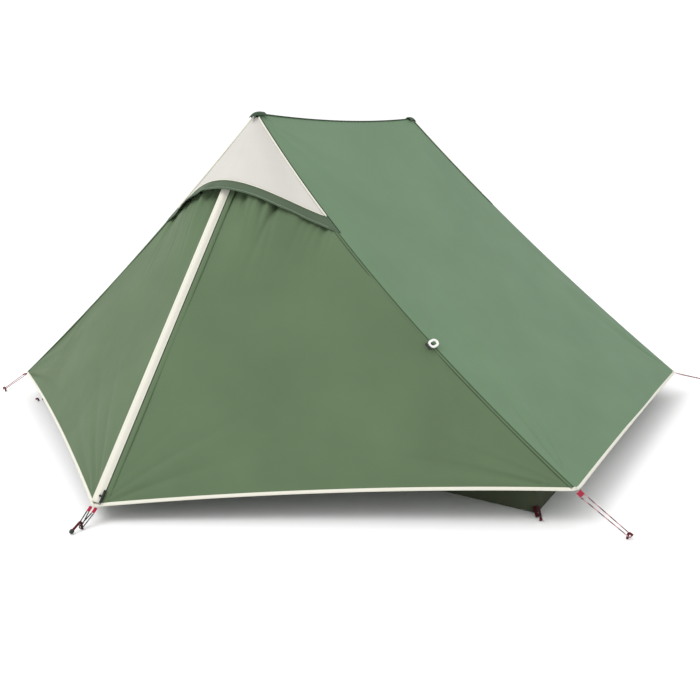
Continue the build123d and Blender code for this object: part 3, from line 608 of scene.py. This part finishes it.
# folds of a roof panel: pulled point, heading, spread, folds to a turn, reach, height, sharpness, start
ROOF_FOLDS = [
    ((-ROOF_CORNER_Y, SLOPE), -75, 42, 17, 0.42, 0.0105),
    ((ROOF_CORNER_Y, SLOPE), -105, 42, 17, 0.42, 0.0105),
    ((-ROOF_CORNER_Y, SLOPE), -68, 26, 28, 0.24, -0.0130, 3, 0.06),
    ((ROOF_CORNER_Y, SLOPE), -112, 26, 28, 0.24, -0.0130, 3, 0.06),
    ((-ROOF_CORNER_Y, SLOPE * TOGGLE_SHARE), -50, 60, 11, 0.30, 0.0060),
    ((-RIDGE_PULL_Y, 0), 62, 40, 12, 0.50, 0.0055),
    ((RIDGE_PULL_Y, 0), 118, 40, 12, 0.50, 0.0055),
]


def roof_wrinkles(flat, across, down, rng):
    """Heights of a roof panel's swells and folds, which end at its seams, ridge and hem."""
    height = billows(flat, *ROOF_SWELL, rng)
    for fold in ROOF_FOLDS:
        height = height + rays(flat, rng, *fold)
    quiet = soft_step(np.minimum(across, 1 - across) / ROOF_QUIET_SEAM) * soft_step(down / ROOF_QUIET_RIDGE)
    return height * quiet * soft_step((1 - down) / ROOF_QUIET_HEM)


for side, sign in (("right", 1), ("left", -1)):
    rng = np.random.default_rng(11 + sign)
    down, across = square_grid(PANEL_STEPS)
    smooth = roof_point(across, down)
    flat = np.stack([smooth[..., 1], down * SLOPE], axis=2)
    points = (smooth + ROOF_NORMAL * roof_wrinkles(flat, across, down, rng)[..., None]) * (sign, 1, 1)
    roof = sheet_mesh(f"roof_{side}", points, flat, ROOF_CLOTH, flip=sign > 0)
    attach(roof, "shelter")
    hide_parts(f"fly_roof_{side}")

    share = np.linspace(0, 1, RIBBON_STEPS)
    edge = roof_point(share, np.ones(RIBBON_STEPS))
    above = roof_point(share, np.full(RIBBON_STEPS, 1 - BINDING / SLOPE)) - ROOF_NORMAL * HEM_BACK
    rings = hem_rings(edge, unit_rows(above - edge), ROOF_NORMAL)
    hem = loft(f"side_hem_tape_{side}", rings * (sign, 1, 1), HEM_TAPE, flip=sign < 0)
    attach(hem, "shelter")
    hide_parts("side_hem_bindings")


# ---- the hood's and the brim's lines -----------------------------------------------------------
def across_hood(seam_point, centre_point):
    """Control points from the left seam to the right one, over a point on the hood's crease."""
    left = seam_point * TO_LEFT
    rise = centre_point - (seam_point + left) / 2
    return [left + (seam_point - left) * i / 4 + rise * bulge for i, bulge in enumerate(HOOD_BULGE)]


brim_centre = APEX + (TIP - APEX) * HOOD_DROP + HOOD_NORMAL * HOOD_PROUD
crease_start = APEX + (TIP - APEX) * HOOD_START * CREASE_SHARE
HOOD_NET = [
    across_hood(point, crease_start + (brim_centre - crease_start) * row / 3)
    for row, point in enumerate(bezier_span(SEAM, HOOD_START, HOOD_END))
]
BRIM_TOP = HOOD_NET[3]
BRIM_LOW = across_hood(
    bezier(SEAM, np.array(BRIM_END)),
    brim_centre - UP_ZIP * BRIM_HEIGHT + HOOD_NORMAL * BRIM_FLARE,
)


# ---- end panels: each door with the gable beside it, in one cloth -----------------------------
def panel_point(across, up):
    """An end panel: from the zip line to the seam, and from the hem to the apex."""
    low = TIP + (APEX - TIP) * up[..., None]
    high = bezier(SEAM, 1 - up)
    hollow = 4 * DOOR_HEM_RISE * across * (1 - across) * (1 - up) ** 3
    reach = np.linalg.norm(CORNER - TIP)
    rounded = corner_shift((1 - across) * reach, (1 - up) ** CORNER_POWER)
    return low + (high - low) * across[..., None] + HEM_UP * hollow[..., None] + rounded


def panel_flat(points):
    """Places on the flat cloth: across from the zip line, and up it."""
    return np.stack([(points - TIP) @ DOOR_X, (points - TIP) @ UP_ZIP], axis=-1)


CORNER_FLAT = panel_flat(CORNER)
CORNER_FLAT = CORNER_FLAT * (1 if CORNER_FLAT[0] > 0 else -1, 1)
X_SIGN = 1 if (CORNER - TIP) @ DOOR_X > 0 else -1
AWAY_FROM_ZIP = DOOR_X * X_SIGN
SEAM_TOGGLE = panel_flat(bezier(SEAM, np.array(TOGGLE_SHARE))) * (X_SIGN, 1)
brim_half = bezier(BRIM_LOW, np.linspace(0.5, 1, TRIM_STEPS))
BRIM_ACROSS, BRIM_UP = (panel_flat(brim_half) * (X_SIGN, 1)).T
BRIM_OFF = (brim_half - TIP) @ DOOR_NORMAL


# folds of an end panel: pulled point, heading, spread, folds to a turn, reach, height, sharpness, start
PANEL_FOLDS = [
    (CORNER_FLAT, 172, 36, 19, 0.50, 0.0110),
    (CORNER_FLAT, 189, 19, 36, 0.30, -0.0190, 3, 0.07),
    ((0, 0), 45, 44, 13, 0.36, 0.0080),
    ((0, 0), 44, 30, 26, 0.22, -0.0130, 3, 0.06),
    (SEAM_TOGGLE, -35, 60, 10, 0.25, 0.0065),
    (SEAM_TOGGLE, 150, 50, 9, 0.25, 0.0055),
]


def panel_wrinkles(flat, across, up, rng):
    """Heights of an end panel: its folds and gathers, its swelling out to the brim, its tucked top."""
    height = billows(flat, *PANEL_SWELL, rng)
    for fold in PANEL_FOLDS:
        height = height + rays(flat, rng, *fold)
    from_zip = flat[..., 0]
    under_brim = np.clip(np.interp(from_zip, BRIM_ACROSS, BRIM_UP) - flat[..., 1], 0, None)
    height = height - gathers(from_zip, under_brim, GATHER_REACH, GATHER_COUNT, GATHER_DEPTH, rng)
    quiet = soft_step(across / PANEL_QUIET_ZIP) * soft_step((1 - across) / PANEL_QUIET_SEAM)
    quiet = quiet * soft_step(up / PANEL_QUIET_HEM)
    filled = np.interp(from_zip, BRIM_ACROSS, np.clip(BRIM_OFF - BRIM_CLEAR, 0, None))
    fade = np.exp(-((under_brim / BULGE_REACH) ** BULGE_FADE))
    bulge = filled * soft_step((from_zip - BULGE_START) / BULGE_RAMP) * fade
    tuck = PANEL_TUCK * soft_step((up / (PANEL_TOP - PANEL_FALL * across) - TUCK_START) / TUCK_RAMP)
    return height * quiet + bulge - tuck


def join_door(piece):
    """Bake a piece's placement into its mesh."""
    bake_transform(piece)


def in_door(path, rise):
    """Across a path in a door's plane, towards the side that rises (1) or falls (-1)."""
    across = unit_rows(np.cross(DOOR_NORMAL, np.gradient(path, axis=0)))
    return across * (rise * np.sign(across[:, 2]))[:, None]


def on_zip(up, across=0.0, lift=0.0):
    """Points beside the zip line of the front right door."""
    up = np.asarray(up, float)[..., None]
    return TIP + UP_ZIP * up + AWAY_FROM_ZIP * across + DOOR_NORMAL * lift


def to_middle(height):
    """A raised edge's place across a door and its height, where it meets the other door's edge."""
    return (STRIP_GAP - height * DOOR_NORMAL[0]) / abs(DOOR_X[0]), height


# half of the cream strip: arched over the zip and its slider, then flat to its free edge
STRIP_SECTION = [
    to_middle(0.0074), to_middle(0.0082), (-0.0016, 0.0088), (0.0014, 0.0090), (0.0062, 0.0086),
    (0.0112, 0.0056), (0.0150, 0.0026),
    (FLAP_WIDTH - 0.0010, 0.0018), (FLAP_WIDTH, 0.0013), (FLAP_WIDTH - 0.0010, 0.0008),
    (0.0142, 0.0014), (0.0104, 0.0044), (0.0058, 0.0074),
]

# the seam of an end panel: name, place in from the roof, width, cloth; the first strip is a painted shadow
# line along the seam
SEAM_TRIMS = [
    ("seam_shadow_line", 0.0006, 0.0022, DARK_CLOTH),
    ("seam_fell", 0.0028, 0.0062, SHADED_DOOR_CLOTH),
    ("seam_stitch", 0.0090, 0.0018, DARK_CLOTH),
]
# beside the cream strip: a black line under its free edge as painted shadow, then what shows of the zip's
# other tape: name, place from the zip, width, cloth
GUARD_TRIMS = [
    ("flap_shadow_line", FLAP_WIDTH - 0.0012, FLAP_SHADOW_WIDTH, FLAP_SHADOW_TAPE),
    ("zip_guard", FLAP_WIDTH + 0.0022, GUARD_WIDTH, SHADED_DOOR_CLOTH),
]

for number, place in enumerate(PLACES):
    rng = np.random.default_rng(31 + number)
    end = place.split("_")[0]
    mirrored = PLACES[place][0] * PLACES[place][1] < 0
    up, across = square_grid(PANEL_STEPS)
    up = up * (PANEL_TOP - PANEL_FALL * across)
    smooth = panel_point(across, up)
    flat = panel_flat(smooth) * (X_SIGN, 1)
    points = moved(smooth + DOOR_NORMAL * panel_wrinkles(flat, across, up, rng)[..., None], place)
    panel = sheet_mesh(f"end_panel_{place}", points, flat, SHADED_DOOR_CLOTH, flip=mirrored)
    join_door(panel)
    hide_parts(f"door_{place}", f"{end}_gable")

    share = np.linspace(0, 1, RIBBON_STEPS)
    edge = panel_point(share, np.zeros(RIBBON_STEPS))
    rings = hem_rings(edge, in_door(edge, 1), DOOR_NORMAL)
    hem = loft(f"door_hem_tape_{place}", moved(rings, place), HEM_TAPE, flip=mirrored)
    join_door(hem)
    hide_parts(f"door_hem_{place}")

    zip_up = np.linspace(CHAIN_START, (1 - ZIP_TOP_SHARE) * ZIP_LENGTH - COIL_TOP_GAP, RIBBON_STEPS)
    coil_path = on_zip(zip_up, COIL_INSET, COIL_LIFT)
    rings = ribbon_rings(coil_path, AWAY_FROM_ZIP, DOOR_NORMAL, CHAIN_WIDTH, COIL_THICK)
    coil = loft(f"zip_coil_{place}", moved(rings, place), COIL_TAPE, flip=mirrored)
    join_door(coil)
    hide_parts(f"zip_chain_{place}")

    trim_up = np.linspace(FLAP_START, FLAP_TOP, RIBBON_STEPS)
    rings = shaped_rings(on_zip(trim_up), AWAY_FROM_ZIP, DOOR_NORMAL, STRIP_SECTION)
    covered = place in ("front_left", "rear_right")
    label = "zip_flap" if covered else "zip_tape"
    trim = loft(f"{label}_{place}", moved(rings, place), FLAP_TAPE, flip=mirrored)
    if covered:
        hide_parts(f"{end}_zip_flap")
    else:
        guard_up = np.linspace(FLAP_START + GUARD_LATE, FLAP_TOP, RIBBON_STEPS)
        for name, start, width, finish in GUARD_TRIMS:
            guard_path = on_zip(guard_up, start, GUARD_LIFT)
            rings = ribbon_rings(guard_path, AWAY_FROM_ZIP, DOOR_NORMAL, width, GUARD_THICK)
            guard = loft(f"{name}_{place}", moved(rings, place), finish, flip=mirrored)
            join_door(guard)
    join_door(trim)

    seam_share = np.linspace(BRIM_END - 0.01, 0.99, RIBBON_STEPS)
    seam_path = bezier(SEAM, seam_share)
    seam_in = in_door(seam_path, -1)
    for label, inset, width, finish in SEAM_TRIMS:
        path = seam_path + seam_in * inset + DOOR_NORMAL * SEAM_LIFT
        rings = ribbon_rings(path, seam_in, DOOR_NORMAL, width, SEAM_THICK)
        seam = loft(f"{label}_{place}", moved(rings, place), finish, flip=mirrored)
        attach(seam, "shelter")


# ---- hoods, brims and piping ------------------------------------------------------------------
def hood_point(across, down):
    """A hood, from the left seam to the right one, and from the apex to the brim."""
    return across_rows([bezier(row, across) for row in HOOD_NET], down)


# the brim's section: shares of its depth, and of its thickness out from the hood
BRIM_SECTION = [
    (0, 0), (0.5, -0.1), (0.97, 0), (1, 0.5), (0.97, 1), (0.80, 0.9), (0.76, 1.2), (0.5, 1.3), (0, 1),
]

for end, turn in (("front", 1), ("rear", -1)):
    rng = np.random.default_rng(51 + turn)
    down, across = square_grid(HOOD_STEPS)
    smooth = hood_point(across, down)
    flat = np.stack([smooth[..., 0], down * HOOD_LENGTH], axis=2)
    crease = CREASE_HEIGHT * np.exp(-((across - 0.5) / CREASE_HALF) ** 2) * down
    height = billows(flat, *HOOD_SWELL, rng) + crease
    height = height * soft_step(np.minimum(across, 1 - across) / HOOD_QUIET)
    points = (smooth + HOOD_NORMAL * height[..., None]) * (turn, turn, 1)
    hood = sheet_mesh(f"{end}_hood_cloth", points, flat, HOOD_CLOTH, flip=True)
    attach(hood, "shelter")
    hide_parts(f"{end}_hood")

    share = np.linspace(0, 1, RIBBON_STEPS)
    top, low = bezier(BRIM_TOP, share), bezier(BRIM_LOW, share)
    middle = np.sin(share * math.pi)
    wave = BRIM_WAVE * np.sin(share * 37 + 1.4 * np.sin(share * 15)) * middle
    deeper = wave * BRIM_WAVE_HANG + BRIM_HANG * middle
    low = low + HOOD_NORMAL * wave[:, None] + (low - top) * deeper[:, None]
    fall = low - top
    rings = [top + fall * a + HOOD_NORMAL * (h * BRIM_THICK) for a, h in BRIM_SECTION]
    rings = np.stack(rings, axis=1) * (turn, turn, 1)
    brim = loft(f"{end}_brim_band", rings, BRIM_CLOTH)
    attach(brim, "shelter")
    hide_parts(f"{end}_brim")

    hood_edge = bezier(SEAM, np.linspace(HOOD_START, HOOD_END, TRIM_STEPS)) + HOOD_NORMAL * PIPING_LIFT
    # the roof's raised edge beside each piping, in dark cloth as a painted shadow line
    roof_edge = bezier(SEAM, np.linspace(HOOD_START, BRIM_END, TRIM_STEPS)) + ROOF_NORMAL * HEM_BACK
    roof_edge = roof_edge + np.array((0, ROOF_EDGE_SHADOW_BACK, 0))
    piping_share = np.linspace(0.01, 0.99, BRIM_PIPING_STEPS)
    brim_edge = bezier(BRIM_TOP, piping_share) + HOOD_NORMAL * BRIM_PIPING_LIFT
    brim_line = top + fall * BRIM_LINE_SHARE + HOOD_NORMAL * BRIM_LINE_LIFT
    brim_line = brim_line[4:-4]  # it stops short of the brim's ends
    for label, path, radius, finish in (
        ("piping_right", hood_edge, PIPING_RADIUS, HEM_TAPE),
        ("piping_left", hood_edge * TO_LEFT, PIPING_RADIUS, HEM_TAPE),
        ("piping_brim", brim_edge, BRIM_PIPING_RADIUS, HEM_TAPE),
        ("roof_edge_shadow_right", roof_edge, ROOF_EDGE_SHADOW_RADIUS, DARK_CLOTH),
        ("roof_edge_shadow_left", roof_edge * TO_LEFT, ROOF_EDGE_SHADOW_RADIUS, DARK_CLOTH),
        ("brim_line", brim_line, BRIM_LINE_RADIUS, LINE_TAPE),
    ):
        piping = loft(f"{end}_{label}", tube_rings(path * (turn, turn, 1), radius), finish)
        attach(piping, "shelter")


ridge_path = bezier(ROOF_NET[0], np.linspace(0, 1, RIBBON_STEPS)) + np.array((0, 0, RIDGE_SEAM_LIFT))
ridge = loft("ridge_seam", tube_rings(ridge_path, RIDGE_SEAM_RADIUS), DARK_CLOTH)
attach(ridge, "shelter")

# the black sleeve on the end of each tip peg, round at both ends
for end, turn in (("front", 1), ("rear", -1)):
    head, tip = (np.array(point) for point in TIP_PEG_HEAD)
    sleeve_path = head + (tip - head) * np.linspace(SLEEVE_START, SLEEVE_END, SLEEVE_STEPS)[:, None]
    sleeve_path = sleeve_path * (turn, turn, 1)
    sleeve_shape = SLEEVE_RADIUS * np.sin(np.linspace(0.35, 2.85, SLEEVE_STEPS)) ** 0.5
    circle = tube_rings(sleeve_path, 1.0, 14) - sleeve_path[:, None]
    rings = sleeve_path[:, None] + circle * sleeve_shape[:, None, None]
    sleeve = loft(f"{end}_peg_sleeve", rings, BLACK_PLASTIC)
    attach(sleeve, "shelter")


# ---- inner tent -------------------------------------------------------------------------------
TUB_TOP_X, TUB_TOP_Y = INNER_LENGTH / 2 - TUB_LEAN, INNER_WIDTH / 2 - TUB_LEAN
END_RUN, END_RISE = TUB_TOP_Y - INNER_RIDGE_Y, INNER_RIDGE_Z - TUB_HEIGHT
END_SLOPE = math.hypot(END_RUN, END_RISE)
END_UP = np.array((0, END_RUN, END_RISE)) / END_SLOPE
END_IN = np.array((0, END_RISE, -END_RUN)) / END_SLOPE
DOOR_TOP = END_SLOPE * INNER_DOOR_TOP


def bilinear(corners, across, up, sag, inward):
    """A four-cornered sheet that sags towards inward in its middle."""
    low = corners[0] + (corners[1] - corners[0]) * across[..., None]
    high = corners[3] + (corners[2] - corners[3]) * across[..., None]
    depth = sag * 16 * across * (1 - across) * up * (1 - up)
    return low + (high - low) * up[..., None] + inward * depth[..., None]


def inner_sheet(name, corners, inward, sag, finish, body, node, rng, flip=False):
    """One panel of the inner tent, attached to its body, with its CAD node hidden. It sags inward by sag.
    """
    corners = [np.asarray(c, float) for c in corners]
    up, across = square_grid(INNER_STEPS)
    smooth = bilinear(corners, across, up, sag, np.asarray(inward, float))
    width = max(np.linalg.norm(corners[1] - corners[0]), np.linalg.norm(corners[2] - corners[3]))
    length = max(np.linalg.norm(corners[3] - corners[0]), np.linalg.norm(corners[2] - corners[1]))
    flat = np.stack([across * width, up * length], axis=2)
    edge = soft_step(np.minimum(np.minimum(across, 1 - across), np.minimum(up, 1 - up)) / INNER_QUIET)
    lumps = np.abs(billows(flat, *INNER_SWELL, rng)) * edge
    made = sheet_mesh(name, smooth + np.asarray(inward, float) * lumps[..., None], flat, finish, flip)
    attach(made, body)
    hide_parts(node)


def rectangle(half_x, half_y, z):
    """Four corners at a height, anticlockwise from the front right one."""
    return [(half_x, -half_y, z), (half_x, half_y, z), (-half_x, half_y, z), (-half_x, -half_y, z)]


rng = np.random.default_rng(71)
tub_floor = rectangle(INNER_LENGTH / 2, INNER_WIDTH / 2, FLOOR_LIFT)
inner_sheet(
    "tub_floor", tub_floor[-1:] + tub_floor[:-1], (0, 0, 1), 0.0, TUB_CLOTH, "shelter", "inner_floor_tub",
    rng,
)
tub_low = rectangle(INNER_LENGTH / 2, INNER_WIDTH / 2, WALL_LIFT)
tub_high = rectangle(TUB_TOP_X, TUB_TOP_Y, TUB_HEIGHT)
for number, (name, inward) in enumerate(
    (("right", (-1, 0, 0)), ("rear", (0, -1, 0)), ("left", (1, 0, 0)), ("front", (0, 1, 0)))
):
    after = (number + 1) % 4
    wall = [tub_low[number], tub_low[after], tub_high[after], tub_high[number]]
    inner_sheet(
        f"tub_wall_{name}", wall, inward, TUB_SAG, TUB_CLOTH, "shelter", "inner_floor_tub",
        rng,
    )

for side, sign in (("right", 1), ("left", -1)):
    side_in = np.array((-END_RISE * sign, 0, -TUB_TOP_X)) / math.hypot(END_RISE, TUB_TOP_X)
    corners = [(sign * TUB_TOP_X, -TUB_TOP_Y, TUB_HEIGHT), (sign * TUB_TOP_X, TUB_TOP_Y, TUB_HEIGHT)]
    corners += [(0, INNER_RIDGE_Y, INNER_RIDGE_Z), (0, -INNER_RIDGE_Y, INNER_RIDGE_Z)]
    inner_sheet(
        f"inner_side_{side}", corners, side_in, SIDE_SAG, INNER_CLOTH, "shelter", "inner_side_walls",
        rng, flip=sign < 0,
    )

end_low, end_top = np.array((0, -TUB_TOP_Y, TUB_HEIGHT)), np.array((0, -INNER_RIDGE_Y, INNER_RIDGE_Z))
door_peak = end_low + END_UP * DOOR_TOP
for end, turn in (("front", 1), ("rear", -1)):
    for side, sign in (("right", 1), ("left", -1)):
        beside_door = end_low + (sign * (INNER_DOOR_HALF + INNER_GAP), 0, 0)
        at_corner = end_low + (sign * TUB_TOP_X, 0, 0)
        corners = [beside_door, at_corner, end_top, door_peak + (sign * INNER_GAP, 0, 0)]
        corners = [c * (turn, turn, 1) for c in corners]
        inner_sheet(
            f"inner_{end}_side_{side}", corners, END_IN * (turn, turn, 1), END_SAG, INNER_CLOTH, "shelter",
            f"inner_{end}_wall", rng, flip=sign < 0,
        )
    foot_half = INNER_DOOR_HALF - INNER_GAP
    corners = [end_low + (-foot_half, 0, INNER_GAP), end_low + (foot_half, 0, INNER_GAP)]
    corners += [door_peak + (side * DOOR_POINT_HALF, 0, -DOOR_POINT_DROP) for side in (1, -1)]
    corners = [c * (turn, turn, 1) for c in corners]
    inner_sheet(
        f"inner_{end}_door_cloth", corners, END_IN * (turn, turn, 1), INNER_DOOR_SAG, INNER_CLOTH,
        f"inner_{end}_door", f"inner_{end}_door", rng,
    )

# ---- CAD nodes that keep their shape ----------------------------------------------------------
NODE_FINISH = {
    "apex_caps": CAP_CLOTH,
    "corner_tabs": RED_WEBBING,
    # painted shade: the red webbing, darkened
    "inner_corner_loops": SHADED_RED_WEBBING,
    "inner_hanging_straps": GREY_WEBBING,
    "tieback_loops": WHITE_ELASTIC,
    "tieback_toggles": BLACK_PLASTIC,
    "guy_pegs": PEG_METAL,
    "tip_pegs": PEG_METAL,
    "inner_pegs": PEG_METAL,
    "pole_sections": POLE_GLASS,
    "pole_ferrules": STEEL,
    "pole_bungees": SHOCK_BRAID,
    "pole_caps": BLACK_RUBBER,
    "pole_feet": BLACK_RUBBER,
    "front_zip_slider": BLACK_METAL,
    "rear_zip_slider": BLACK_METAL,
}
for place in PLACES:
    NODE_FINISH[f"door_tab_{place}"] = RED_WEBBING
for node, finish in NODE_FINISH.items():
    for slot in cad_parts[node].material_slots:
        slot.material = finish

# ---- floor ------------------------------------------------------------------------------------
floor_corners = rectangle(FLOOR_REACH, FLOOR_REACH, FLOOR_Z)
floor = mesh_object(
    "floor", floor_corners[-1:] + floor_corners[:-1], [(0, 1, 2, 3)], FLOOR_FINISH.material
)
